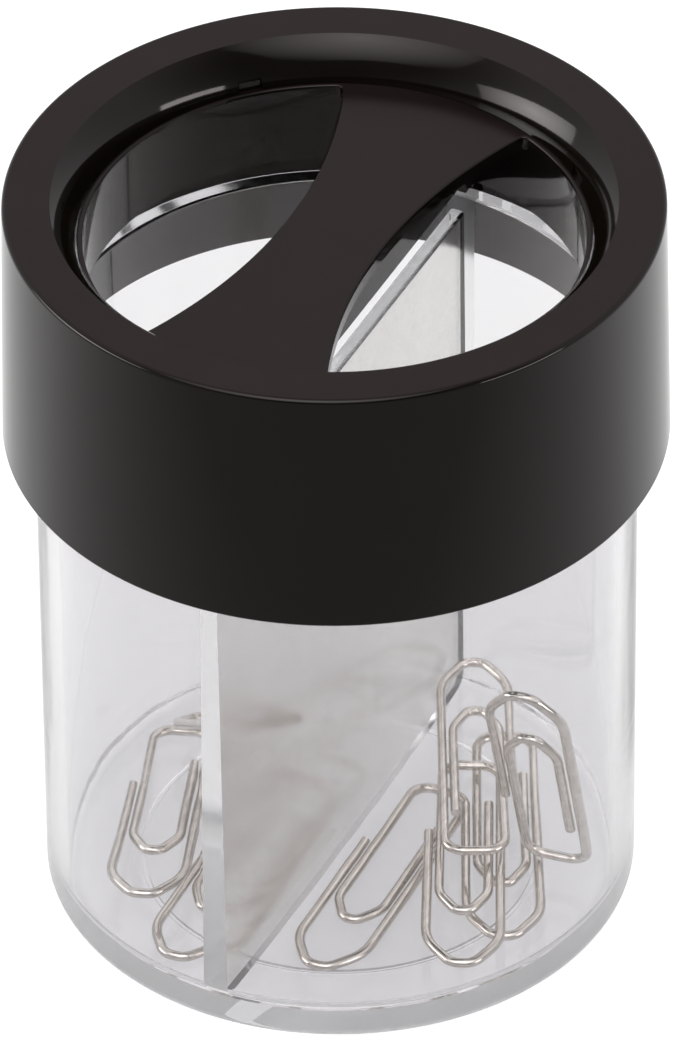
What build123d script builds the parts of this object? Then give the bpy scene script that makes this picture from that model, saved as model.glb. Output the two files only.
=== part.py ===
"""Magnetic paper clip holder: a divided clear cup, a black lid with a ring magnet, and loose wire clips.

Millimetres. The origin is at the centre of the cup's underside, +Z is up, and the dividing wall and
the bridge over the mouth run along Y.
"""

import os
from math import asin, cos, radians, sin, sqrt

from build123d import *

os.makedirs("parts", exist_ok=True)

# Cup
cup_height = 65.0
rim_radius = 30.3
cup_draft = 0.1
cup_wall = 1.9
core_draft = 0.3
floor_thickness = 3.0
foot_round = 1.6
corner_round = 1.4
rim_round = 0.35
witness_radius = 20.4
witness_width = 0.5
witness_depth = 0.3

# Dividing wall, moulded with the cup
divider_base = 2.6
divider_top = 1.6
divider_round = 0.4
divider_drop = 1.8

# Lid shell
lid_rise = 18.5
skirt_overlap = 9.0
skirt_gap = 1.7
skirt_wall = 1.5
skirt_draft = 0.5
lid_top_wall = 1.6
lid_edge_round = 0.5
skirt_edge_round = 0.3
mouth_inset = 2.95
funnel_reach = 2.75
funnel_drop = 4.2
funnel_wall = 1.3
lip_lean = 15.0

# Ribs inside the skirt: they centre the cup, stop its rim and surround the magnet
rib_thickness = 1.4
rib_lead_in = 1.5
guide_clearance = 0.55
seat_gap = 0.05

# Insert: sleeve, bridge, the web under it, lugs and magnet tabs
sleeve_ledge = 0.4
sleeve_relief = 0.1
sleeve_wall = 1.25
joint_gap = 0.05
bridge_thickness = 1.5
bridge_waist = 10.7
bridge_side_radius = 57.4
bridge_edge_round = 0.25
mouth_corner_round = 0.6
web_thickness = 1.4
web_clearance = 1.45
web_round = 0.3
lug_width = 2.2
lug_height = 1.05
lug_depth = 0.42
lug_inset = 0.1
lug_clearance = 0.12
tab_thickness = 1.0
tab_width = 8.0

# Magnet
magnet_thickness = 2.35
magnet_height = 7.5
magnet_fit = 0.1
magnet_rib_gap = 0.3
magnet_headroom = 0.45
magnet_chamfer = 0.3

# Paper clips
clip_length = 31.5
clip_width = 8.3
clip_wire = 1.0
leg_gap = 0.2
tip_flat = 2.2
tip_rise = 3.4
shoulder_round = 5.0
inner_tip_inset = 8.0
inner_tip_flat = 1.5
inner_tip_rise = 2.6
inner_shoulder_round = 3.0
end_round = 2.0
outer_leg = 20.5
inner_leg = 16.5
lie_gap = 0.05
wall_lean = 70.0
divider_lean = 37.0

# Levels and radii that several pieces share
floor_top = floor_thickness
foot_radius = rim_radius - cup_draft
rim_inner_radius = rim_radius - cup_wall
core_foot_radius = rim_inner_radius - core_draft
overall_height = cup_height + lid_rise
lid_bottom = cup_height - skirt_overlap
lid_underside = overall_height - lid_top_wall
skirt_radius = rim_radius + skirt_gap + skirt_wall
lid_top_radius = skirt_radius - skirt_draft
lip_radius = rim_inner_radius - mouth_inset
crease_radius = lip_radius + funnel_reach
lip_level = overall_height - funnel_drop
sleeve_height = tab_thickness + joint_gap + magnet_height + magnet_headroom
sleeve_top = lip_level - joint_gap
sleeve_bottom = sleeve_top - sleeve_height
sleeve_radius = lip_radius - sleeve_ledge
sleeve_outer_radius = sleeve_radius + sleeve_wall
lug_outer_radius = sleeve_outer_radius - lug_inset
web_bottom = cup_height + web_clearance
magnet_inner_radius = sleeve_outer_radius + magnet_fit
magnet_outer_radius = magnet_inner_radius + magnet_thickness
magnet_bottom = sleeve_bottom + tab_thickness + joint_gap
rib_stop_radius = magnet_outer_radius + magnet_rib_gap
rib_guide_radius = rim_radius + guide_clearance
rib_stop_level = cup_height + seat_gap
rib_bearings = (0, 90, 180, 270)
lug_bearings = (45, 135, 225, 315)


def radial_plane(bearing):
    turn = radians(bearing)
    return Plane(origin=(0, 0, 0), x_dir=(cos(turn), sin(turn), 0), z_dir=(sin(turn), -cos(turn), 0))


# Cup: one turned profile, then the dividing wall from wall to wall
with BuildPart() as cup:
    with BuildSketch(Plane.XZ) as cup_profile:
        with BuildLine():
            Polyline(
                (0, 0),
                (foot_radius, 0),
                (rim_radius, cup_height),
                (rim_inner_radius, cup_height),
                (core_foot_radius, floor_top),
                (0, floor_top),
                close=True,
            )
        make_face()
        fillet(cup_profile.vertices().sort_by_distance((foot_radius, 0))[0], foot_round)
        fillet(cup_profile.vertices().sort_by_distance((core_foot_radius, floor_top))[0], corner_round)
        fillet(cup_profile.vertices().group_by(Axis.Y)[-1], rim_round)
    revolve(axis=Axis.Z)
    with BuildSketch():
        Circle(witness_radius + witness_width / 2)
        Circle(witness_radius - witness_width / 2, mode=Mode.SUBTRACT)
    extrude(amount=witness_depth, mode=Mode.SUBTRACT)
    divider_level = cup_height - divider_drop
    divider_root = floor_top / 2
    divider_reach = core_foot_radius + cup_wall / 2
    with BuildSketch(Plane.XZ) as divider_profile:
        with BuildLine():
            Polyline(
                (-divider_base / 2, divider_root),
                (divider_base / 2, divider_root),
                (divider_top / 2, divider_level),
                (-divider_top / 2, divider_level),
                close=True,
            )
        make_face()
        fillet(divider_profile.vertices().group_by(Axis.Y)[-1], divider_round)
    extrude(amount=divider_reach, both=True)
cup.part.label = "cup"
export_step(cup.part, "parts/cup.step")

# Lid shell: ring top, funnel that turns down into the mouth, skirt and four inner ribs
lip_rise = (sin(radians(lip_lean)), cos(radians(lip_lean)))
funnel_round = (funnel_reach**2 + funnel_drop**2) / (2 * (funnel_reach * lip_rise[1] - funnel_drop * lip_rise[0]))
funnel_mid_radius = lip_radius + funnel_round * lip_rise[1]
funnel_mid_level = lip_level - funnel_round * lip_rise[0]
funnel_inner_round = funnel_round - funnel_wall
lip_outer_radius = funnel_mid_radius - sqrt(funnel_inner_round**2 - (lip_level - funnel_mid_level) ** 2)
funnel_root_radius = funnel_mid_radius - sqrt(funnel_inner_round**2 - (lid_underside - funnel_mid_level) ** 2)
with BuildPart() as lid_shell:
    with BuildSketch(Plane.XZ) as lid_profile:
        with BuildLine():
            Line((lip_outer_radius, lip_level), (lip_radius, lip_level))
            TangentArc((lip_radius, lip_level), (crease_radius, overall_height), tangent=lip_rise)
            Polyline(
                (crease_radius, overall_height),
                (lid_top_radius, overall_height),
                (skirt_radius, lid_bottom),
                (skirt_radius - skirt_wall, lid_bottom),
                (lid_top_radius - skirt_wall, lid_underside),
                (funnel_root_radius, lid_underside),
            )
            TangentArc(
                (lip_outer_radius, lip_level),
                (funnel_root_radius, lid_underside),
                tangent=(lip_level - funnel_mid_level, funnel_mid_radius - lip_outer_radius),
            )
        make_face()
        fillet(lid_profile.vertices().sort_by_distance((lid_top_radius, overall_height))[0], lid_edge_round)
        fillet(lid_profile.vertices().group_by(Axis.Y)[0], skirt_edge_round)
    revolve(axis=Axis.Z)
    for bearing in rib_bearings:
        with BuildSketch(radial_plane(bearing)):
            with BuildLine():
                Polyline(
                    (skirt_radius - skirt_wall / 2, lid_bottom + rib_lead_in),
                    (lid_top_radius - skirt_wall / 2, overall_height - lid_top_wall / 2),
                    (rib_stop_radius, overall_height - lid_top_wall / 2),
                    (rib_stop_radius, rib_stop_level),
                    (rib_guide_radius, rib_stop_level),
                    (rib_guide_radius, lid_bottom + 2 * rib_lead_in),
                    close=True,
                )
            make_face()
        extrude(amount=rib_thickness / 2, both=True)
    for bearing in lug_bearings:
        with BuildSketch(radial_plane(bearing)):
            with BuildLine():
                Polyline(
                    (lip_radius - sleeve_ledge, lip_level - lug_height),
                    (lug_outer_radius + lug_clearance, lip_level - lug_height),
                    (lug_outer_radius + lug_clearance, sleeve_top + lug_height + lug_clearance),
                    (lip_radius - sleeve_ledge, sleeve_top + lug_height + lug_clearance),
                    close=True,
                )
            make_face()
        extrude(amount=lug_width / 2 + lug_clearance, both=True, mode=Mode.SUBTRACT)
lid_shell.part.label = "lid_shell"
export_step(lid_shell.part, "parts/lid_shell.step")

# Insert: the sleeve with the hourglass bridge, a web below it, four lugs above and four tabs below
bridge_side_offset = bridge_waist / 2 + bridge_side_radius
tab_inner_radius = sleeve_radius + 0.6 * sleeve_wall
tab_length = magnet_outer_radius - tab_inner_radius
with BuildPart() as mouth_insert:
    with BuildSketch(Plane.XZ):
        with BuildLine():
            Polyline(
                (0, sleeve_top),
                (sleeve_outer_radius, sleeve_top),
                (sleeve_outer_radius, sleeve_bottom),
                (sleeve_radius + sleeve_relief, sleeve_bottom),
                (sleeve_radius + sleeve_relief, sleeve_top - bridge_thickness),
                (0, sleeve_top - bridge_thickness),
                close=True,
            )
        make_face()
    revolve(axis=Axis.Z)
    with BuildSketch(Plane.XY.offset(sleeve_top - bridge_thickness)) as mouth_half:
        Circle(sleeve_radius)
        with Locations((bridge_side_offset, 0)):
            Circle(bridge_side_radius, mode=Mode.INTERSECT)
        fillet(mouth_half.vertices(), mouth_corner_round)
        mirror(about=Plane.YZ)
    extrude(amount=bridge_thickness, mode=Mode.SUBTRACT)
    mouth_edges = mouth_insert.faces().sort_by(Axis.Z)[-1].inner_wires().edges()
    fillet(mouth_edges, bridge_edge_round)
    # the web carries the dividing wall on above the rim, and its ends carry the magnet as the tabs do
    with BuildSketch(Plane.YZ):
        with BuildLine():
            Polyline(
                (-magnet_outer_radius, web_bottom),
                (magnet_outer_radius, web_bottom),
                (magnet_outer_radius, sleeve_bottom + tab_thickness),
                (tab_inner_radius, sleeve_bottom + tab_thickness),
                (tab_inner_radius, sleeve_top - bridge_thickness / 2),
                (-tab_inner_radius, sleeve_top - bridge_thickness / 2),
                (-tab_inner_radius, sleeve_bottom + tab_thickness),
                (-magnet_outer_radius, sleeve_bottom + tab_thickness),
                close=True,
            )
        make_face()
    extrude(amount=web_thickness / 2, both=True)
    fillet(mouth_insert.edges().group_by(Axis.Z)[0].filter_by(Axis.Y), web_round)
    with BuildSketch(Plane.XY.offset(sleeve_bottom)):
        with PolarLocations(tab_inner_radius + tab_length / 2, 4, start_angle=lug_bearings[0]):
            Rectangle(tab_length, tab_width)
    extrude(amount=tab_thickness)
    for bearing in lug_bearings:
        with BuildSketch(radial_plane(bearing)):
            with BuildLine():
                Polyline(
                    (lug_outer_radius - lug_depth, sleeve_top - bridge_thickness / 2),
                    (lug_outer_radius, sleeve_top - bridge_thickness / 2),
                    (lug_outer_radius, sleeve_top + lug_height),
                    (lug_outer_radius - lug_depth, sleeve_top + lug_height),
                    close=True,
                )
            make_face()
        extrude(amount=lug_width / 2, both=True)
mouth_insert.part.label = "mouth_insert"
export_step(mouth_insert.part, "parts/mouth_insert.step")

# Magnet: a plain ring around the sleeve, carried on the tabs
with BuildPart() as magnet_ring:
    with BuildSketch(Plane.XY.offset(magnet_bottom)):
        Circle(magnet_outer_radius)
        Circle(magnet_inner_radius, mode=Mode.SUBTRACT)
    extrude(amount=magnet_height)
    chamfer(magnet_ring.edges().filter_by(GeomType.CIRCLE), magnet_chamfer)
magnet_ring.part.label = "magnet_ring"
export_step(magnet_ring.part, "parts/magnet_ring.step")

# Paper clip: the path of the wire from the outer free end round both loops to the inner free end
outer_half = (clip_width - clip_wire) / 2
inner_half = outer_half - clip_wire - leg_gap
tip_level = clip_wire / 2
end_level = clip_length - clip_wire / 2
inner_tip_level = tip_level + inner_tip_inset
tip_round = 0.8 * tip_flat
inner_tip_round = 0.8 * inner_tip_flat
wire_corners = [
    (-outer_half, outer_leg),
    (-outer_half, tip_level + tip_rise),
    (-tip_flat / 2, tip_level),
    (tip_flat / 2, tip_level),
    (outer_half, tip_level + tip_rise),
    (outer_half, end_level),
    (-inner_half, end_level),
    (-inner_half, inner_tip_level + inner_tip_rise),
    (-inner_tip_flat / 2, inner_tip_level),
    (inner_tip_flat / 2, inner_tip_level),
    (inner_half, inner_tip_level + inner_tip_rise),
    (inner_half, inner_tip_level + inner_leg),
]
wire_bends = [
    shoulder_round,
    tip_round,
    tip_round,
    shoulder_round,
    end_round,
    end_round,
    inner_shoulder_round,
    inner_tip_round,
    inner_tip_round,
    inner_shoulder_round,
]


def tip_at_wall(bearing, inset):
    tip_radius = core_foot_radius - inset
    return (tip_radius * cos(radians(bearing)), tip_radius * sin(radians(bearing)))


def tip_by_divider(side, gap, inset):
    tip_x = side * (divider_base / 2 + gap + clip_width / 2)
    tip_radius = core_foot_radius - inset
    return (tip_x, -sqrt(tip_radius**2 - tip_x**2))


def clip_plane(tip, heading, tip_lift, end_lift):
    tip_z = floor_top + lie_gap + clip_wire / 2 + tip_lift
    turn = radians(heading)
    pitch = asin((end_lift - tip_lift) / clip_length)
    across = (sin(turn), -cos(turn), 0)
    normal = (-cos(turn) * sin(pitch), -sin(turn) * sin(pitch), cos(pitch))
    return Plane(origin=(tip[0], tip[1], tip_z), x_dir=across, z_dir=normal)


# One clip stands on the pile and leans on the wall; another rises from the floor and leans on the divider
layer = clip_wire + lie_gap
wall_foot = 2.1 * layer - sin(radians(wall_lean)) * clip_wire / 2
wall_top = wall_foot + clip_length * sin(radians(wall_lean))
divider_heading = -47
divider_foot = 1.1 * layer
divider_rise = clip_length * sin(radians(divider_lean))
divider_run = clip_length * cos(radians(divider_lean)) * cos(radians(divider_heading))
divider_corner = inner_half * sin(radians(-divider_heading)) + clip_wire / 2
divider_foot_x = -divider_base / 2 - lie_gap - divider_corner - divider_run
divider_foot_y = 0.32 * core_foot_radius

# Where the clips lie: the round tip, the heading from it, and the lifts of both ends above the floor
clip_planes = [
    clip_plane(tip_by_divider(1, 1.7, 6.0), heading=91, tip_lift=0, end_lift=0),
    clip_plane(tip_at_wall(-22.8, 3.7), heading=114.5, tip_lift=0.5 * layer, end_lift=1.7 * layer),
    clip_plane(tip_at_wall(-38.2, 1.0), heading=113.5, tip_lift=2.0 * layer, end_lift=2.8 * layer),
    clip_plane(tip_at_wall(83, 1.5), heading=-64.5, tip_lift=4.0 * layer, end_lift=4.0 * layer),
    clip_plane(tip_at_wall(-18, 3.5), heading=96, tip_lift=wall_top, end_lift=wall_foot),
    clip_plane(tip_at_wall(-117.5, 3.6), heading=111.5, tip_lift=3.3 * layer, end_lift=0),
    clip_plane(tip_by_divider(-1, 0.6, 1.9), heading=94, tip_lift=0, end_lift=0),
    clip_plane(
        (divider_foot_x, divider_foot_y),
        heading=divider_heading,
        tip_lift=divider_foot,
        end_lift=divider_foot + divider_rise,
    ),
]
for number, plane in enumerate(clip_planes, 1):
    with BuildPart() as paper_clip:
        with BuildLine(plane) as wire_path:
            FilletPolyline(*wire_corners, radius=wire_bends)
        with BuildSketch(Plane(origin=wire_path.line @ 0, z_dir=wire_path.line % 0)):
            Circle(clip_wire / 2)
        sweep(path=wire_path.line)
    paper_clip.part.label = f"paper_clip_{number}"
    export_step(paper_clip.part, f"parts/paper_clip_{number}.step")
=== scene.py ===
from math import asin, atan2, cos, degrees, pi, radians, sin, sqrt, tan

import bpy
from mathutils import Matrix, Vector


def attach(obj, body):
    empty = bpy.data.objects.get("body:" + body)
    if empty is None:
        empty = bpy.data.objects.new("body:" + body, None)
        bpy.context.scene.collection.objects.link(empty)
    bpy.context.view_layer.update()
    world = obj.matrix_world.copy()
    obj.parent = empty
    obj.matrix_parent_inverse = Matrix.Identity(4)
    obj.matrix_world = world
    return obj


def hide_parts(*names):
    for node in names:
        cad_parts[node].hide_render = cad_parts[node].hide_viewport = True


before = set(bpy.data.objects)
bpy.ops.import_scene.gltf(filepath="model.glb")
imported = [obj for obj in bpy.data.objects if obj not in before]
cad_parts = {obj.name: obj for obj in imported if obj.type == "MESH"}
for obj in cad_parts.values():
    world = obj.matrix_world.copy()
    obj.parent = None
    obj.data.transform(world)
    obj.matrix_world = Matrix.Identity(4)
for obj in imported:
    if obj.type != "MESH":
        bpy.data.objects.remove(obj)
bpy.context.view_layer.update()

mm = 0.001
weld = 0.002 * mm  # points closer than this become one
near = 0.01 * mm  # heights that differ by less are the same
skin = 0.1  # a face within so many millimetres of a level lies on it
print("frame loaded, pieces to dress:", len(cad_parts))


# Small helpers for modelling with operators

def clearSelection():
    if bpy.context.mode != "OBJECT":
        bpy.ops.object.mode_set(mode="OBJECT")
    bpy.ops.object.select_all(action="DESELECT")


def pickOnly(piece):
    clearSelection()
    piece.select_set(True)
    bpy.context.view_layer.objects.active = piece


def startPoint(name, x, y, z):
    clearSelection()
    bpy.ops.mesh.primitive_plane_add(size=mm)
    piece = bpy.context.object
    piece.name = name
    piece.data.name = name
    bpy.ops.object.mode_set(mode="EDIT")
    bpy.ops.mesh.select_mode(type="VERT")
    bpy.ops.mesh.select_all(action="SELECT")
    bpy.ops.mesh.merge(type="CENTER")  # the plane pinched to one point
    bpy.ops.transform.translate(value=(x * mm, y * mm, z * mm))
    return piece


def drawUpright(start, moves):
    # from the picked point: (r, z) is a straight line to there, (r, z, sweep, steps) an arc about there
    r, z = start
    for move in moves:
        if len(move) == 2:
            step = ((move[0] - r) * mm, 0, (move[1] - z) * mm)
            bpy.ops.mesh.extrude_vertices_move(TRANSFORM_OT_translate={"value": step})
            r, z = move
        else:
            midR, midZ, sweep, steps = move
            turn = radians(sweep)
            bpy.ops.mesh.spin(steps=steps, angle=turn, center=(midR * mm, 0, midZ * mm), axis=(0, 1, 0))
            dr, dz = r - midR, z - midZ
            r = midR + dr * cos(turn) - dz * sin(turn)
            z = midZ + dr * sin(turn) + dz * cos(turn)


def closeShape():
    bpy.ops.mesh.select_all(action="SELECT")
    bpy.ops.mesh.remove_doubles(threshold=weld)
    bpy.ops.mesh.normals_make_consistent(inside=False)
    bpy.ops.object.mode_set(mode="OBJECT")


def turnOnLathe(name, start, moves, steps):
    piece = startPoint(name, start[0], 0, start[1])
    drawUpright(start, moves)
    bpy.ops.mesh.select_all(action="SELECT")
    bpy.ops.mesh.spin(steps=steps, angle=2 * pi, center=(0, 0, 0), axis=(0, 0, 1))
    closeShape()
    return piece


def cutPlate(name, corners, thickness):
    # a flat plate in the plane through the axis, from its corners (r, z)
    piece = startPoint(name, corners[0][0], -thickness / 2, corners[0][1])
    drawUpright(corners[0], corners[1:])
    bpy.ops.mesh.select_all(action="SELECT")
    bpy.ops.mesh.edge_face_add()
    bpy.ops.mesh.extrude_region_move(TRANSFORM_OT_translate={"value": (0, thickness * mm, 0)})
    closeShape()
    return piece


def turnedCopy(piece, bearing):
    copy = piece.copy()
    copy.data = piece.data.copy()
    bpy.context.collection.objects.link(copy)
    copy.matrix_world = Matrix.Rotation(radians(bearing), 4, "Z") @ piece.matrix_world
    pickOnly(copy)
    bpy.ops.object.transform_apply(location=True, rotation=True, scale=True)
    return copy


def roundLong(piece, level, radius):
    # rounds the long edges that run along Y at this height
    mesh = piece.data
    shortest = 5 * mm
    for part in (*mesh.vertices, *mesh.polygons):
        part.select = False
    for edge in mesh.edges:
        a, b = (mesh.vertices[n].co for n in edge.vertices)
        atLevel = max(abs(a.z - level * mm), abs(b.z - level * mm)) < near
        edge.select = atLevel and abs(a.y - b.y) > shortest
    pickOnly(piece)
    bpy.ops.object.mode_set(mode="EDIT")
    bpy.ops.mesh.select_mode(type="EDGE")
    bpy.ops.mesh.bevel(offset=radius * mm, segments=6, profile=0.5)
    closeShape()


def joinSolid(piece, tool, operation):
    boolean = piece.modifiers.new(tool.name, "BOOLEAN")
    boolean.operation = operation
    boolean.solver = "EXACT"
    boolean.object = tool
    pickOnly(piece)
    bpy.ops.object.modifier_apply(modifier=boolean.name)
    bpy.data.objects.remove(tool)


def smoothPiece(piece, angle):
    pickOnly(piece)
    bpy.ops.object.shade_smooth_by_angle(angle=radians(angle))
    weighted = piece.modifiers.new("evenNormals", "WEIGHTED_NORMAL")
    weighted.keep_sharp = True
    weighted.weight = 80
    bpy.ops.object.modifier_apply(modifier=weighted.name)


def dress(piece, node, body, slot, *finishes):
    piece.data.materials.clear()
    for finish in finishes:
        piece.data.materials.append(finish)
    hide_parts(node)
    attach(piece, body)


# Finishes

def newFinish(name):
    finish = bpy.data.materials.new(name)
    finish.use_nodes = True
    nodes = finish.node_tree.nodes
    nodes.clear()
    output = nodes.new("ShaderNodeOutputMaterial")
    shader = nodes.new("ShaderNodeBsdfPrincipled")
    finish.node_tree.links.new(shader.outputs["BSDF"], output.inputs["Surface"])
    return finish, nodes, finish.node_tree.links, shader, output


def grainNoise(nodes, links, scale, detail, stretch=(1, 1, 1)):
    place = nodes.new("ShaderNodeTexCoord")
    mapping = nodes.new("ShaderNodeMapping")
    mapping.inputs["Scale"].default_value = stretch
    noise = nodes.new("ShaderNodeTexNoise")
    noise.inputs["Scale"].default_value = scale
    noise.inputs["Detail"].default_value = detail
    noise.inputs["Roughness"].default_value = 0.6
    links.new(place.outputs["Object"], mapping.inputs["Vector"])
    links.new(mapping.outputs["Vector"], noise.inputs["Vector"])
    return noise.outputs["Fac"]


def spread(nodes, links, source, low, high, start=0.3, end=0.7):
    ramp = nodes.new("ShaderNodeMapRange")
    ramp.inputs["From Min"].default_value = start
    ramp.inputs["From Max"].default_value = end
    ramp.inputs["To Min"].default_value = low
    ramp.inputs["To Max"].default_value = high
    links.new(source, ramp.inputs["Value"])
    return ramp.outputs["Result"]


def tint(nodes, links, source, dark, light, start=0.3, end=0.7):
    ramp = nodes.new("ShaderNodeValToRGB")
    ramp.color_ramp.elements[0].position = start
    ramp.color_ramp.elements[0].color = (*dark, 1)
    ramp.color_ramp.elements[1].position = end
    ramp.color_ramp.elements[1].color = (*light, 1)
    links.new(source, ramp.inputs["Fac"])
    return ramp.outputs["Color"]


def combine(nodes, links, operation, *values):
    step = nodes.new("ShaderNodeMath")
    step.operation = operation
    for socket, value in zip(step.inputs, values):
        if isinstance(value, (int, float)):
            socket.default_value = value
        else:
            links.new(value, socket)
    return step.outputs[0]


def relief(nodes, links, source, shader, depth, strength):
    bump = nodes.new("ShaderNodeBump")
    bump.inputs["Distance"].default_value = depth * mm
    bump.inputs["Strength"].default_value = strength
    links.new(source, bump.inputs["Height"])
    links.new(bump.outputs["Normal"], shader.inputs["Normal"])


mouldLook = {
    "ior": 1.58, "streakScale": 60, "streakDetail": 3, "streakStretch": (1, 1, 0.25), "rippleStrength": 0.12,
    "scuffScale": 900, "scuffDetail": 6, "scuffRange": (0.45, 0.75), "shadow": (0.86, 0.86, 0.875, 1),
}
clearLook = {"low": (0.83, 0.823, 0.838), "high": (0.88, 0.872, 0.885), "gloss": (0.015, 0.05), "ripple": 0.25}
hazyLook = {"low": (0.84, 0.815, 0.795), "high": (0.94, 0.92, 0.9), "gloss": (0.12, 0.18), "ripple": 0.05}
sunkLook = {"low": (0.95, 0.945, 0.95), "high": (0.98, 0.975, 0.98), "gloss": (0.64, 0.68), "ripple": 0.01}
mattLook = {"low": (0.985, 0.98, 0.985), "high": (1, 0.995, 1), "gloss": (0.38, 0.42), "ripple": 0.01}


def makeClearPlastic(name, look):
    s = mouldLook
    finish, nodes, links, shader, output = newFinish(name)
    # slow streaks from the moulding, and fine scuffs
    flow = grainNoise(nodes, links, s["streakScale"], s["streakDetail"], s["streakStretch"])
    links.new(tint(nodes, links, flow, look["low"], look["high"]), shader.inputs["Base Color"])
    scuffs = grainNoise(nodes, links, s["scuffScale"], s["scuffDetail"])
    links.new(spread(nodes, links, scuffs, *look["gloss"], *s["scuffRange"]), shader.inputs["Roughness"])
    relief(nodes, links, flow, shader, look["ripple"], s["rippleStrength"])
    shader.inputs["Transmission Weight"].default_value = 1
    shader.inputs["IOR"].default_value = s["ior"]
    # light passes straight through, so that the shadow stays pale
    through = nodes.new("ShaderNodeBsdfTransparent")
    through.inputs["Color"].default_value = s["shadow"]
    path = nodes.new("ShaderNodeLightPath")
    blend = nodes.new("ShaderNodeMixShader")
    links.new(path.outputs["Is Shadow Ray"], blend.inputs["Fac"])
    links.new(shader.outputs["BSDF"], blend.inputs[1])
    links.new(through.outputs["BSDF"], blend.inputs[2])
    links.new(blend.outputs["Shader"], output.inputs["Surface"])
    return finish


blackGrain = {"cloudScale": 180, "cloudDetail": 5, "fineDetail": 4, "strength": 0.5}
glossBlackLook = {
    "dark": (0.0035, 0.0025, 0.0018), "light": (0.005, 0.0036, 0.0028), "gloss": (0.05, 0.09), "grain": 2600,
    "depth": 0.001, "level": 0.31, "sheen": (1, 0.91, 0.92),
}
satinBlackLook = {
    "dark": (0.0078, 0.004, 0.0042), "light": (0.0098, 0.0052, 0.0054), "gloss": (0.17, 0.22), "grain": 3200,
    "depth": 0.0015, "level": 0.23, "sheen": (1, 0.8, 0.83),
}


def makeBlackPlastic(name, look):
    s = blackGrain
    finish, nodes, links, shader, _ = newFinish(name)
    cloud = grainNoise(nodes, links, s["cloudScale"], s["cloudDetail"])
    links.new(tint(nodes, links, cloud, look["dark"], look["light"]), shader.inputs["Base Color"])
    fine = grainNoise(nodes, links, look["grain"], s["fineDetail"])
    links.new(spread(nodes, links, fine, *look["gloss"]), shader.inputs["Roughness"])
    relief(nodes, links, fine, shader, look["depth"], s["strength"])
    shader.inputs["Specular IOR Level"].default_value = look["level"]
    shader.inputs["Specular Tint"].default_value = (*look["sheen"], 1)
    return finish


ferriteLook = {
    "dark": (0.025, 0.019, 0.017), "light": (0.085, 0.06, 0.05), "gloss": (0.45, 0.7), "scale": 420, "detail": 7,
    "stretch": (1, 1, 1), "depth": 0.12, "strength": 0.6, "metal": 0,
}
wireLook = {
    "dark": (0.56, 0.515, 0.47), "light": (0.76, 0.715, 0.665), "gloss": (0.07, 0.14), "scale": 1500, "detail": 4,
    "stretch": (1, 0.15, 1), "depth": 0.01, "strength": 0.4, "metal": 1,
}


def makeGrained(name, look):
    finish, nodes, links, shader, _ = newFinish(name)
    grain = grainNoise(nodes, links, look["scale"], look["detail"], look["stretch"])
    links.new(tint(nodes, links, grain, look["dark"], look["light"]), shader.inputs["Base Color"])
    links.new(spread(nodes, links, grain, *look["gloss"]), shader.inputs["Roughness"])
    relief(nodes, links, grain, shader, look["depth"], look["strength"])
    shader.inputs["Metallic"].default_value = look["metal"]
    return finish


clearPlastic = makeClearPlastic("clearPlastic", clearLook)
hazyPlastic = makeClearPlastic("hazyPlastic", hazyLook)
sunkPlastic = makeClearPlastic("sunkPlastic", sunkLook)
mattPlastic = makeClearPlastic("mattPlastic", mattLook)
glossBlack = makeBlackPlastic("glossBlack", glossBlackLook)
satinBlack = makeBlackPlastic("satinBlack", satinBlackLook)
ferrite = makeGrained("ferrite", ferriteLook)
nickelWire = makeGrained("nickelWire", wireLook)
print("finishes made")


# Cup with its dividing wall

cupSize = {
    "height": 65.0, "rimRadius": 30.3, "footRadius": 30.2, "innerRim": 28.4, "innerFoot": 28.1, "floorTop": 3.0,
    "footRound": 1.6, "cornerRound": 1.4, "rimRound": 0.35, "grooveIn": 20.15, "grooveOut": 20.65, "grooveDeep": 0.3,
    "dividerBase": 2.6, "dividerTop": 1.6, "dividerRound": 0.4, "dividerLevel": 63.2, "dividerRoot": 1.5,
    "dividerReach": 29.05, "steps": 240, "sharp": 32, "squarely": 0.95,
}


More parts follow.
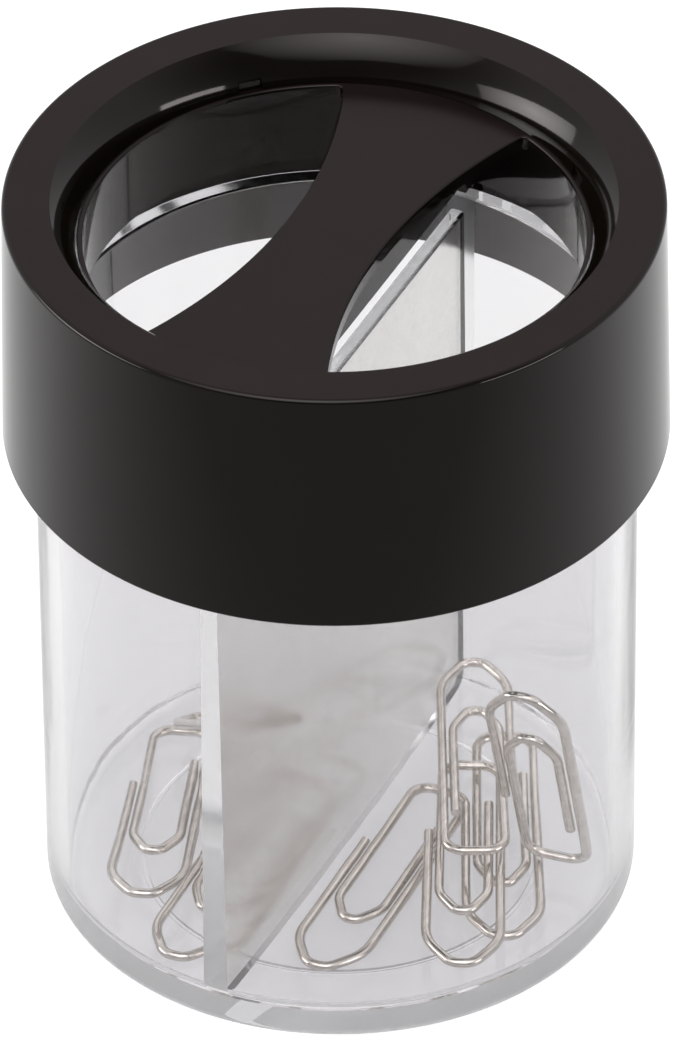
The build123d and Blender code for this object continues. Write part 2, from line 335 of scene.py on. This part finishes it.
def makeCup():
    s = cupSize
    foot, corner, rim = s["footRound"], s["cornerRound"], s["rimRound"]
    cup = turnOnLathe("clearCup", (0, 0), [
        (s["grooveIn"], 0), (s["grooveIn"], s["grooveDeep"]), (s["grooveOut"], s["grooveDeep"]), (s["grooveOut"], 0),
        (s["footRadius"] - foot, 0), (s["footRadius"] - foot, foot, 90, 10),
        (s["rimRadius"], s["height"] - rim), (s["rimRadius"] - rim, s["height"] - rim, 90, 6),
        (s["innerRim"] + rim, s["height"]), (s["innerRim"] + rim, s["height"] - rim, 90, 6),
        (s["innerFoot"], s["floorTop"] + corner), (s["innerFoot"] - corner, s["floorTop"] + corner, -90, 8),
        (0, s["floorTop"]),
    ], s["steps"])
    # the divider starts as a block, narrows upwards and has a rounded top
    clearSelection()
    tall = s["dividerLevel"] - s["dividerRoot"]
    bpy.ops.mesh.primitive_cube_add(size=mm, location=(0, 0, (s["dividerRoot"] + tall / 2) * mm))
    divider = bpy.context.object
    divider.name = "divider"
    divider.scale = (s["dividerBase"], 2 * s["dividerReach"], tall)
    bpy.ops.object.transform_apply(location=True, rotation=True, scale=True)
    topLevel = s["dividerLevel"] * mm
    for vertex in divider.data.vertices:
        vertex.select = vertex.co.z > topLevel - near
    for edge in divider.data.edges:
        edge.select = all(divider.data.vertices[n].select for n in edge.vertices)
    for face in divider.data.polygons:
        face.select = all(divider.data.vertices[n].select for n in face.vertices)
    bpy.ops.object.mode_set(mode="EDIT")
    narrow = s["dividerTop"] / s["dividerBase"]
    bpy.ops.transform.resize(value=(narrow, 1, 1), center_override=(0, 0, topLevel))
    bpy.ops.object.mode_set(mode="OBJECT")
    roundLong(divider, s["dividerLevel"], s["dividerRound"])
    joinSolid(cup, divider, "UNION")
    smoothPiece(cup, s["sharp"])
    return cup


clearCup = makeCup()
dress(clearCup, "cup", "cup", "clear_plastic", clearPlastic, hazyPlastic, sunkPlastic, mattPlastic)
for face in clearCup.data.polygons:
    middle, facing, squarely = face.center, face.normal, cupSize["squarely"]
    if facing.z < -squarely and middle.z < skin * mm and middle.xy.length < cupSize["grooveIn"] * mm:
        face.material_index = 3  # inside its groove the underside is matt
    if abs(middle.x) < cupSize["dividerBase"] / 2 * mm:
        if abs(facing.x) > squarely:
            face.material_index = 1  # the divider's faces are dull from the mould
        elif facing.y > squarely and middle.y > (cupSize["footRadius"] - skin) * mm:
            face.material_index = 2  # the wall behind the divider's far end is dull from sinking in the mould
print("cup:", len(clearCup.data.polygons), "faces")


# Lid shell

lidSize = {
    "top": 83.5, "bottom": 56.0, "topRadius": 33.0, "skirtRadius": 33.5, "skirtWall": 1.5, "topWall": 1.6,
    "edgeRound": 0.5, "skirtRound": 0.3, "crease": 28.2, "lip": 25.45, "funnelDrop": 4.2, "funnelWall": 1.3,
    "lipLean": 15.0, "ribThickness": 1.4, "ribLead": 1.5, "ribStop": 29.05, "ribStopLevel": 65.05,
    "ribGuide": 30.85, "ribBearings": (0, 90, 180, 270), "notchBearings": (45, 135, 225, 315),
    "notchWidth": 2.44, "notchIn": 25.05, "notchOut": 26.32, "notchLow": 78.25, "notchHigh": 80.42,
    "steps": 240, "sharp": 20, "ringFlat": 0.99,
}


def makeLidShell():
    s = lidSize
    # the funnel rolls in from the crease to a lip that still leans a little
    reach, drop, lean = s["crease"] - s["lip"], s["funnelDrop"], radians(s["lipLean"])
    roll = (reach**2 + drop**2) / (2 * (reach * cos(lean) - drop * sin(lean)))
    lipLevel, under = s["top"] - drop, s["top"] - s["topWall"]
    midR, midZ = s["lip"] + roll * cos(lean), lipLevel - roll * sin(lean)
    sweep = degrees(asin((s["top"] - midZ) / roll) - lean)
    innerRoll = roll - s["funnelWall"]
    root, innerLip = asin((under - midZ) / innerRoll), asin((lipLevel - midZ) / innerRoll)
    edge, hem = s["edgeRound"], s["skirtRound"]
    lid = turnOnLathe("lidShell", (s["lip"], lipLevel), [
        (midR, midZ, -sweep, 18),
        (s["topRadius"] - edge, s["top"]), (s["topRadius"] - edge, s["top"] - edge, -90, 6),
        (s["skirtRadius"], s["bottom"] + hem), (s["skirtRadius"] - hem, s["bottom"] + hem, -90, 5),
        (s["skirtRadius"] - s["skirtWall"] + hem, s["bottom"]),
        (s["skirtRadius"] - s["skirtWall"] + hem, s["bottom"] + hem, -90, 5),
        (s["topRadius"] - s["skirtWall"], under), (midR - innerRoll * cos(root), under),
        (midR, midZ, degrees(root - innerLip), 12), (s["lip"], lipLevel),
    ], s["steps"])
    low, high = s["bottom"] + s["ribLead"], s["top"] - s["topWall"] / 2
    rib = cutPlate("rib", [
        (s["skirtRadius"] - s["skirtWall"] / 2, low), (s["topRadius"] - s["skirtWall"] / 2, high),
        (s["ribStop"], high), (s["ribStop"], s["ribStopLevel"]), (s["ribGuide"], s["ribStopLevel"]),
        (s["ribGuide"], low + s["ribLead"]),
    ], s["ribThickness"])
    for bearing in s["ribBearings"]:
        joinSolid(lid, turnedCopy(rib, bearing), "UNION")
    bpy.data.objects.remove(rib)
    notch = cutPlate("notch", [
        (s["notchIn"], s["notchLow"]), (s["notchOut"], s["notchLow"]), (s["notchOut"], s["notchHigh"]),
        (s["notchIn"], s["notchHigh"]),
    ], s["notchWidth"])
    for bearing in s["notchBearings"]:
        joinSolid(lid, turnedCopy(notch, bearing), "DIFFERENCE")
    bpy.data.objects.remove(notch)
    smoothPiece(lid, s["sharp"])
    return lid


lidShell = makeLidShell()
dress(lidShell, "lid_shell", "lid", "black_plastic", glossBlack, satinBlack)
for face in lidShell.data.polygons:
    if face.normal.z > lidSize["ringFlat"] and face.center.z > (lidSize["top"] - skin) * mm:
        face.material_index = 1  # the flat ring is finely matted
print("lid shell:", len(lidShell.data.polygons), "faces")


# Insert: sleeve, bridge, the web under it, lugs and tabs

insertSize = {
    "top": 79.25, "bottom": 70.25, "mouthRadius": 25.05, "bore": 25.15, "outer": 26.3, "plate": 1.5, "waist": 10.7,
    "sideRadius": 57.4, "edgeRound": 0.25, "cornerRound": 0.6, "lugIn": 25.78, "lugOut": 26.2, "lugHeight": 1.05,
    "lugWidth": 2.2, "tabIn": 25.8, "tabOut": 28.75, "tabThickness": 1.0, "tabWidth": 8.0,
    "webThickness": 1.4, "webBottom": 66.45, "webRound": 0.3, "edgeHold": 0.2,
    "bearings": (45, 135, 225, 315), "steps": 240, "sharp": 24, "topFlat": 0.9,
}


def mouthRing(offset, level):
    # one mouth half seen from above: outer arc, corner, bridge side, corner, each grown by the offset
    s = insertSize
    sideMid = s["waist"] / 2 + s["sideRadius"]
    outer, side, corner = s["mouthRadius"], s["sideRadius"], s["cornerRound"]
    # the corner's centre lies inside both arcs by the corner's radius
    a, b = outer - corner, side - corner
    cornerX = (a * a - b * b + sideMid * sideMid) / (2 * sideMid)
    cornerY = sqrt(a * a - cornerX * cornerX)
    outerHalf = atan2(cornerY, cornerX)
    sideHalf = atan2(cornerY, sideMid - cornerX)
    r = outer + offset

    def arc(steps, angle, x, y):
        # spin turns clockwise about its axis, so the axis points down
        bpy.ops.mesh.spin(steps=steps, angle=angle, center=(x * mm, y * mm, level * mm), axis=(0, 0, -1))

    bpy.ops.mesh.select_all(action="DESELECT")
    bpy.ops.mesh.primitive_plane_add(size=0.01 * mm, location=(0, 0, level * mm))
    bpy.ops.mesh.merge(type="CENTER")
    bpy.ops.transform.translate(value=(r * cos(-outerHalf) * mm, r * sin(-outerHalf) * mm, 0))
    cornerTurn = pi - outerHalf - sideHalf
    arc(60, 2 * outerHalf, 0, 0)
    arc(6, cornerTurn, cornerX, cornerY)
    arc(30, 2 * sideHalf, sideMid, 0)
    arc(6, cornerTurn, cornerX, -cornerY)


def makeInsert():
    s = insertSize
    insert = startPoint("mouthInsert", 0, 0, 0)
    bpy.ops.mesh.delete(type="VERT")
    # the mouth's edge is rounded in six steps above a loop that holds its side straight
    edge = s["edgeRound"]
    levels = [(0, s["top"] - s["plate"]), (0, s["top"] - edge - s["edgeHold"])]
    for n in range(7):
        turn = radians(15 * n)
        levels.append((edge * (1 - cos(turn)), s["top"] - edge * (1 - sin(turn))))
    for offset, level in levels:
        mouthRing(offset, level)
    bpy.ops.mesh.select_all(action="SELECT")
    bpy.ops.mesh.remove_doubles(threshold=weld)
    bpy.ops.mesh.bridge_edge_loops(type="SINGLE", use_merge=False)
    # the second half is the first one turned round
    bpy.ops.mesh.select_all(action="SELECT")
    bpy.ops.mesh.duplicate()
    bpy.ops.transform.rotate(value=pi, orient_axis="Z", center_override=(0, 0, 0))
    # sleeve wall from the top's rim down and up the bore
    bpy.ops.mesh.select_all(action="DESELECT")
    bpy.ops.mesh.primitive_circle_add(vertices=s["steps"], radius=s["outer"] * mm, location=(0, 0, s["top"] * mm))
    bpy.ops.mesh.extrude_region_move(TRANSFORM_OT_translate={"value": (0, 0, (s["bottom"] - s["top"]) * mm)})
    bpy.ops.mesh.extrude_region_move(TRANSFORM_OT_translate={"value": (0, 0, 0)})
    shrink = s["bore"] / s["outer"]
    bpy.ops.transform.resize(value=(shrink, shrink, 1), center_override=(0, 0, s["bottom"] * mm))
    rise = s["top"] - s["plate"] - s["bottom"]
    bpy.ops.mesh.extrude_region_move(TRANSFORM_OT_translate={"value": (0, 0, rise * mm)})
    # flat top and underside of the plate, each filled round its two mouth holes
    for level in (s["top"], s["top"] - s["plate"]):
        bpy.ops.object.mode_set(mode="OBJECT")
        mesh = insert.data
        for face in mesh.polygons:
            face.select = False
        for vertex in mesh.vertices:
            vertex.select = abs(vertex.co.z - level * mm) < 0.001 * mm
        for side in mesh.edges:
            side.select = all(mesh.vertices[n].select for n in side.vertices)
        bpy.ops.object.mode_set(mode="EDIT")
        bpy.ops.mesh.select_mode(type="EDGE")
        bpy.ops.mesh.fill(use_beauty=True)
    closeShape()
    lug = cutPlate("lug", [
        (s["lugIn"], s["top"] - s["plate"] / 2), (s["lugOut"], s["top"] - s["plate"] / 2),
        (s["lugOut"], s["top"] + s["lugHeight"]), (s["lugIn"], s["top"] + s["lugHeight"]),
    ], s["lugWidth"])
    tab = cutPlate("tab", [
        (s["tabIn"], s["bottom"]), (s["tabOut"], s["bottom"]), (s["tabOut"], s["bottom"] + s["tabThickness"]),
        (s["tabIn"], s["bottom"] + s["tabThickness"]),
    ], s["tabWidth"])
    for block in (lug, tab):
        for bearing in s["bearings"]:
            joinSolid(insert, turnedCopy(block, bearing), "UNION")
        bpy.data.objects.remove(block)
    shelf, inPlate = s["bottom"] + s["tabThickness"], s["top"] - s["plate"] / 2
    flatWeb = cutPlate("flatWeb", [
        (-s["tabOut"], s["webBottom"]), (s["tabOut"], s["webBottom"]), (s["tabOut"], shelf), (s["tabIn"], shelf),
        (s["tabIn"], inPlate), (-s["tabIn"], inPlate), (-s["tabIn"], shelf), (-s["tabOut"], shelf),
    ], s["webThickness"])
    web = turnedCopy(flatWeb, 90)
    bpy.data.objects.remove(flatWeb)
    roundLong(web, s["webBottom"], s["webRound"])
    joinSolid(insert, web, "UNION")
    smoothPiece(insert, s["sharp"])
    return insert


mouthInsert = makeInsert()
dress(mouthInsert, "mouth_insert", "lid", "black_plastic", glossBlack, satinBlack)
for face in mouthInsert.data.polygons:
    if face.normal.z > insertSize["topFlat"] and face.center.z > (insertSize["top"] - skin) * mm:
        face.material_index = 1  # the bridge's flat top
print("mouth insert:", len(mouthInsert.data.polygons), "faces")


# Ring magnet

magnetSize = {
    "inner": 26.4, "outer": 28.75, "bottom": 71.3, "height": 7.5, "chamfer": 0.3, "steps": 160, "sharp": 30,
}


def makeMagnet():
    s = magnetSize
    low, high, c = s["bottom"], s["bottom"] + s["height"], s["chamfer"]
    magnet = turnOnLathe("magnetRing", (s["inner"] + c, low), [
        (s["outer"] - c, low), (s["outer"], low + c), (s["outer"], high - c), (s["outer"] - c, high),
        (s["inner"] + c, high), (s["inner"], high - c), (s["inner"], low + c), (s["inner"] + c, low),
    ], s["steps"])
    smoothPiece(magnet, s["sharp"])
    return magnet


magnetRing = makeMagnet()
dress(magnetRing, "magnet_ring", "magnet", "ferrite", ferrite)
print("magnet:", len(magnetRing.data.polygons), "faces")


# Paper clips: one is bent from round wire, the rest are copies of it

clipSize = {
    "length": 31.5, "width": 8.3, "wire": 1.0, "legGap": 0.2, "tipFlat": 2.2, "tipRise": 3.4, "shoulder": 5.0,
    "innerInset": 8.0, "innerFlat": 1.5, "innerRise": 2.6, "innerShoulder": 3.0, "endRound": 2.0, "outerLeg": 20.5,
    "innerLeg": 16.5, "lie": 0.05, "burr": 0.14, "around": 14, "bendStep": 9, "sharp": 40,
    "wallLean": 70.0, "wallLift": 2.1, "dividerLean": 37.0, "dividerLift": 1.1, "dividerHeading": -47,
    "dividerAlong": 0.32,
}


def bendClip():
    s = clipSize
    half = (s["width"] - s["wire"]) / 2
    inner = half - s["wire"] - s["legGap"]
    tip, end = s["wire"] / 2, s["length"] - s["wire"] / 2
    innerTip = tip + s["innerInset"]
    corners = [
        (-half, s["outerLeg"]), (-half, tip + s["tipRise"]), (-s["tipFlat"] / 2, tip), (s["tipFlat"] / 2, tip),
        (half, tip + s["tipRise"]), (half, end), (-inner, end), (-inner, innerTip + s["innerRise"]),
        (-s["innerFlat"] / 2, innerTip), (s["innerFlat"] / 2, innerTip), (inner, innerTip + s["innerRise"]),
        (inner, innerTip + s["innerLeg"]),
    ]
    tipRound, innerRound = 0.8 * s["tipFlat"], 0.8 * s["innerFlat"]
    bends = [s["shoulder"], tipRound, tipRound, s["shoulder"], s["endRound"], s["endRound"], s["innerShoulder"],
             innerRound, innerRound, s["innerShoulder"]]
    points = [Vector(corner) for corner in corners]
    clearSelection()
    bpy.ops.mesh.primitive_circle_add(vertices=s["around"], radius=s["wire"] / 2 * mm,
                                      location=(points[0].x * mm, points[0].y * mm, 0), rotation=(pi / 2, 0, 0))
    clip = bpy.context.object
    clip.name = "clipWire"
    bpy.ops.object.transform_apply(location=True, rotation=True, scale=True)
    bpy.ops.object.mode_set(mode="EDIT")
    bpy.ops.mesh.select_mode(type="VERT")
    bpy.ops.mesh.select_all(action="SELECT")
    here = points[0]
    for n, radius in enumerate(bends, 1):
        into = (points[n] - points[n - 1]).normalized()
        away = (points[n + 1] - points[n]).normalized()
        turn = atan2(into.x * away.y - into.y * away.x, into.dot(away))  # left is positive
        setBack = radius * tan(abs(turn) / 2)
        bendStart = points[n] - into * setBack
        run = bendStart - here
        if run.length > 0.01:
            bpy.ops.mesh.extrude_region_move(TRANSFORM_OT_translate={"value": (run.x * mm, run.y * mm, 0)})
        leftward = Vector((-into.y, into.x)) * (1 if turn > 0 else -1)
        middle = bendStart + leftward * radius
        steps = max(4, round(abs(degrees(turn)) / s["bendStep"]))
        bpy.ops.mesh.spin(steps=steps, angle=-turn, center=(middle.x * mm, middle.y * mm, 0), axis=(0, 0, 1))
        here = points[n] + away * setBack
    run = points[-1] - here
    bpy.ops.mesh.extrude_region_move(TRANSFORM_OT_translate={"value": (run.x * mm, run.y * mm, 0)})
    # both cut ends closed, with a small burr taken off
    bpy.ops.mesh.edge_face_add()
    bpy.ops.mesh.select_all(action="DESELECT")
    bpy.ops.mesh.select_mode(type="EDGE")
    bpy.ops.mesh.select_non_manifold()
    bpy.ops.mesh.edge_face_add()
    closeShape()
    mesh = clip.data
    for face in mesh.polygons:
        face.select = len(face.vertices) > 4
    bpy.ops.object.mode_set(mode="EDIT")
    bpy.ops.mesh.select_mode(type="FACE")
    bpy.ops.mesh.region_to_loop()
    bpy.ops.mesh.bevel(offset=s["burr"] * mm, segments=3, profile=0.5)
    closeShape()
    smoothPiece(clip, s["sharp"])
    return clip


def tipAtWall(bearing, inset):
    radius = cupSize["innerFoot"] - inset
    return radius * cos(radians(bearing)), radius * sin(radians(bearing))


def tipByDivider(side, gap, inset):
    x = side * (cupSize["dividerBase"] / 2 + gap + clipSize["width"] / 2)
    return x, -sqrt((cupSize["innerFoot"] - inset)**2 - x * x)


def clipPlaces():
    # for each clip: the round tip's place, the heading from it, and how high its two ends lie
    s = clipSize
    layer = s["wire"] + s["lie"]
    wallLean, dividerLean = radians(s["wallLean"]), radians(s["dividerLean"])
    heading = radians(s["dividerHeading"])
    wallFoot = s["wallLift"] * layer - sin(wallLean) * s["wire"] / 2
    wallTop = wallFoot + s["length"] * sin(wallLean)
    inner = (s["width"] - s["wire"]) / 2 - s["wire"] - s["legGap"]
    corner = inner * sin(-heading) + s["wire"] / 2
    footX = -cupSize["dividerBase"] / 2 - s["lie"] - corner - s["length"] * cos(dividerLean) * cos(heading)
    footY = s["dividerAlong"] * cupSize["innerFoot"]
    foot = s["dividerLift"] * layer
    return [
        (tipByDivider(1, 1.7, 6.0), 91, 0, 0),
        (tipAtWall(-22.8, 3.7), 114.5, 0.5 * layer, 1.7 * layer),
        (tipAtWall(-38.2, 1.0), 113.5, 2.0 * layer, 2.8 * layer),
        (tipAtWall(83, 1.5), -64.5, 4.0 * layer, 4.0 * layer),
        (tipAtWall(-18, 3.5), 96, wallTop, wallFoot),
        (tipAtWall(-117.5, 3.6), 111.5, 3.3 * layer, 0),
        (tipByDivider(-1, 0.6, 1.9), 94, 0, 0),
        ((footX, footY), s["dividerHeading"], foot, foot + s["length"] * sin(dividerLean)),
    ]


clipWire = bendClip()
for number, (tip, heading, tipLift, endLift) in enumerate(clipPlaces(), 1):
    clip = clipWire.copy()
    clip.data = clipWire.data.copy()
    clip.name = f"paperClip{number}"
    clip.data.name = clip.name
    bpy.context.collection.objects.link(clip)
    turn, pitch = radians(heading), asin((endLift - tipLift) / clipSize["length"])
    across = Vector((sin(turn), -cos(turn), 0))
    normal = Vector((-cos(turn) * sin(pitch), -sin(turn) * sin(pitch), cos(pitch)))
    along = normal.cross(across)
    base = cupSize["floorTop"] + clipSize["lie"] + clipSize["wire"] / 2
    place = Matrix((across, along, normal)).transposed().to_4x4()
    place.translation = Vector((tip[0], tip[1], base + tipLift)) * mm
    clip.matrix_world = place
    pickOnly(clip)
    bpy.ops.object.transform_apply(location=True, rotation=True, scale=True)
    dress(clip, f"paper_clip_{number}", "cup", "nickel_wire", nickelWire)
bpy.data.objects.remove(clipWire)
print("paper clips placed")


# Floor, light and camera

cameraSize = {
    "elevation": 37.94, "azimuth": 26.0, "distance": 1300.0, "lens": 444.1, "sensor": 36, "roll": 0.55,
    "aimSide": 0.27, "aimUp": 43.0,
}
# the floor's grading and mirror glow, its dimming through the cup and the wires' sky are painted shade and painted
# reflections
stageLook = {
    "floorSize": 6, "floorDrop": 0.05, "paper": (0.48, 0.3), "glow": (0.74, 0.88), "paintedReflection": (0.7, 0.12),
    "near": -0.03, "far": 0.11, "sky": 0.9, "frontSky": 0.12, "skyTilt": (0.79, 0.61), "skyFade": (0.25, 0.9),
    "throughFloorShade": 0.8, "throughSkyShade": 0.85, "paintedWireFloor": 0.08, "paintedWireHorizon": 0.12, "paintedWireSky": 1.8,
    "paintedWireFade": (0.1, 0.5),
}
softboxes = {
    "topBox": {"place": (0.1, -0.52, 1.0), "width": 1.4, "height": 1.3, "power": 3.1, "fan": 75},
    "leftBox": {"place": (-0.86, -0.48, 0.315), "width": 0.9, "height": 0.34, "power": 0.74, "fan": 60},
    "rightBox": {"place": (1.0, -0.07, 0.159), "width": 0.52, "height": 0.19, "power": 2.1, "fan": 180},
}
boxAim = Vector((0, 0, 0.08))
bounces = {"all": 28, "glossy": 16, "through": 24}


def lightPath(nodes, links):
    # the kinds of ray, and whether a ray came out through the cup after one mirroring
    path = nodes.new("ShaderNodeLightPath").outputs
    single = combine(nodes, links, "COMPARE", path["Glossy Depth"], 1, 0.5)
    return path, combine(nodes, links, "MULTIPLY", path["Is Transmission Ray"], single)


def makeFloor():
    clearSelection()
    below = -stageLook["floorDrop"] * mm
    bpy.ops.mesh.primitive_plane_add(size=stageLook["floorSize"], location=(0, 0, below))
    floor = bpy.context.object
    floor.name = "paleFloor"
    paper = bpy.data.materials.new("palePaper")
    paper.use_nodes = True
    nodes, links = paper.node_tree.nodes, paper.node_tree.links
    nodes.clear()
    output = nodes.new("ShaderNodeOutputMaterial")
    # painted shade and painted reflection: the floor is coloured lighter behind the holder and darker in front of
    # it, and glows the same way for mirror rays, as its skirt mirrors them
    place = nodes.new("ShaderNodeTexCoord")
    toward = nodes.new("ShaderNodeVectorMath")
    toward.operation = "DOT_PRODUCT"
    turn = radians(cameraSize["azimuth"])
    toward.inputs[1].default_value = (sin(turn), -cos(turn), 0)
    links.new(place.outputs["Object"], toward.inputs[0])

    def graded(pair):
        return spread(nodes, links, toward.outputs["Value"], *pair, stageLook["near"], stageLook["far"])

    matte = nodes.new("ShaderNodeBsdfDiffuse")
    # the floor's colour is graded darker in front: painted shade over the paper's own pale tone
    links.new(graded(stageLook["paper"]), matte.inputs["Color"])
    glow = nodes.new("ShaderNodeEmission")
    path, once = lightPath(nodes, links)
    # the floor seen through the cup is dimmed: painted shade inside the cup
    through = combine(nodes, links, "MULTIPLY", path["Is Transmission Ray"], stageLook["throughFloorShade"])
    # for the wires' reflections through the cup the floor is nearly dark: a painted reflection
    dimmed = combine(nodes, links, "MULTIPLY", once, stageLook["throughFloorShade"] - stageLook["paintedWireFloor"])
    shown = combine(nodes, links, "SUBTRACT", through, dimmed)
    seen = combine(nodes, links, "MAXIMUM", path["Is Camera Ray"], shown)
    # the floor glows for mirror rays, brighter behind than in front: a painted reflection for the skirt
    paintedReflection = combine(nodes, links, "MULTIPLY", path["Is Glossy Ray"], graded(stageLook["paintedReflection"]))
    level = combine(nodes, links, "MAXIMUM", seen, paintedReflection)
    links.new(combine(nodes, links, "MULTIPLY", level, graded(stageLook["glow"])), glow.inputs["Strength"])
    total = nodes.new("ShaderNodeAddShader")
    links.new(matte.outputs["BSDF"], total.inputs[0])
    links.new(glow.outputs["Emission"], total.inputs[1])
    links.new(total.outputs["Shader"], output.inputs["Surface"])
    floor.data.materials.append(paper)


def makeSky():
    world = bpy.data.worlds.new("studio")
    bpy.context.scene.world = world
    world.use_nodes = True
    nodes, links = world.node_tree.nodes, world.node_tree.links
    nodes.clear()
    output = nodes.new("ShaderNodeOutputWorld")
    back = nodes.new("ShaderNodeBackground")
    place = nodes.new("ShaderNodeTexCoord")
    toward = nodes.new("ShaderNodeVectorMath")
    toward.operation = "DOT_PRODUCT"
    turn, (flat, high) = radians(cameraSize["azimuth"]), stageLook["skyTilt"]
    toward.inputs[1].default_value = (sin(turn) * flat, -cos(turn) * flat, high)
    links.new(place.outputs["Generated"], toward.inputs[0])
    fade = nodes.new("ShaderNodeMapRange")
    fade.interpolation_type = "SMOOTHSTEP"
    fade.inputs["From Min"].default_value, fade.inputs["From Max"].default_value = stageLook["skyFade"]
    fade.inputs["To Min"].default_value = stageLook["sky"]
    fade.inputs["To Max"].default_value = stageLook["frontSky"]
    links.new(toward.outputs["Value"], fade.inputs["Value"])
    # through the cup the sky is even, but for its wires' reflections a dim horizon under a bright sky is painted in:
    # a painted reflection with a painted glint
    path, once = lightPath(nodes, links)
    height = nodes.new("ShaderNodeSeparateXYZ")
    links.new(place.outputs["Generated"], height.inputs[0])
    glow = (stageLook["paintedWireHorizon"], stageLook["paintedWireSky"])
    paintedGlint = spread(nodes, links, height.outputs["Z"], *glow, *stageLook["paintedWireFade"])
    direct = combine(nodes, links, "SUBTRACT", 1, path["Is Transmission Ray"])
    plain = combine(nodes, links, "SUBTRACT", path["Is Transmission Ray"], once)
    level = combine(nodes, links, "MULTIPLY", fade.outputs["Result"], direct)
    # the sky seen through the cup is dimmed evenly: painted shade inside the cup
    level = combine(nodes, links, "MULTIPLY_ADD", plain, stageLook["throughSkyShade"], level)
    links.new(combine(nodes, links, "MULTIPLY_ADD", once, paintedGlint, level), back.inputs["Strength"])
    links.new(back.outputs["Background"], output.inputs["Surface"])


def addSoftbox(name, look):
    # a narrow fan dims the box towards its own edges
    lamp = bpy.data.lights.new(name, "AREA")
    lamp.shape = "RECTANGLE"
    lamp.size, lamp.size_y = look["width"], look["height"]
    lamp.energy = look["power"]
    lamp.spread = radians(look["fan"])
    box = bpy.data.objects.new(name, lamp)
    bpy.context.collection.objects.link(box)
    box.location = look["place"]
    box.rotation_euler = (boxAim - Vector(look["place"])).to_track_quat("-Z", "Y").to_euler()


def makeCamera():
    s = cameraSize
    rise, turn, roll = radians(s["elevation"]), radians(s["azimuth"]), radians(s["roll"])
    right = Vector((cos(turn), sin(turn), 0))
    back = Vector((sin(turn) * cos(rise), -cos(turn) * cos(rise), sin(rise)))
    up = back.cross(right)
    eye = (right * s["aimSide"] + Vector((0, 0, s["aimUp"])) + back * s["distance"]) * mm
    lensData = bpy.data.cameras.new("photoCamera")
    lensData.lens = s["lens"]
    lensData.sensor_width = s["sensor"]
    camera = bpy.data.objects.new("photoCamera", lensData)
    bpy.context.collection.objects.link(camera)
    across, upright = right * cos(roll) - up * sin(roll), right * sin(roll) + up * cos(roll)
    view = Matrix((across, upright, back)).transposed().to_4x4()
    view.translation = eye
    camera.matrix_world = view
    bpy.context.scene.camera = camera


makeFloor()
makeSky()
for name, look in softboxes.items():
    addSoftbox(name, look)
makeCamera()
bpy.context.scene.view_settings.view_transform = "Standard"
paths = bpy.context.scene.cycles  # light runs far along the thick clear base and the divider
paths.max_bounces = bounces["all"]
paths.glossy_bounces, paths.transmission_bounces = bounces["glossy"], bounces["through"]
print("stage, light and camera set")
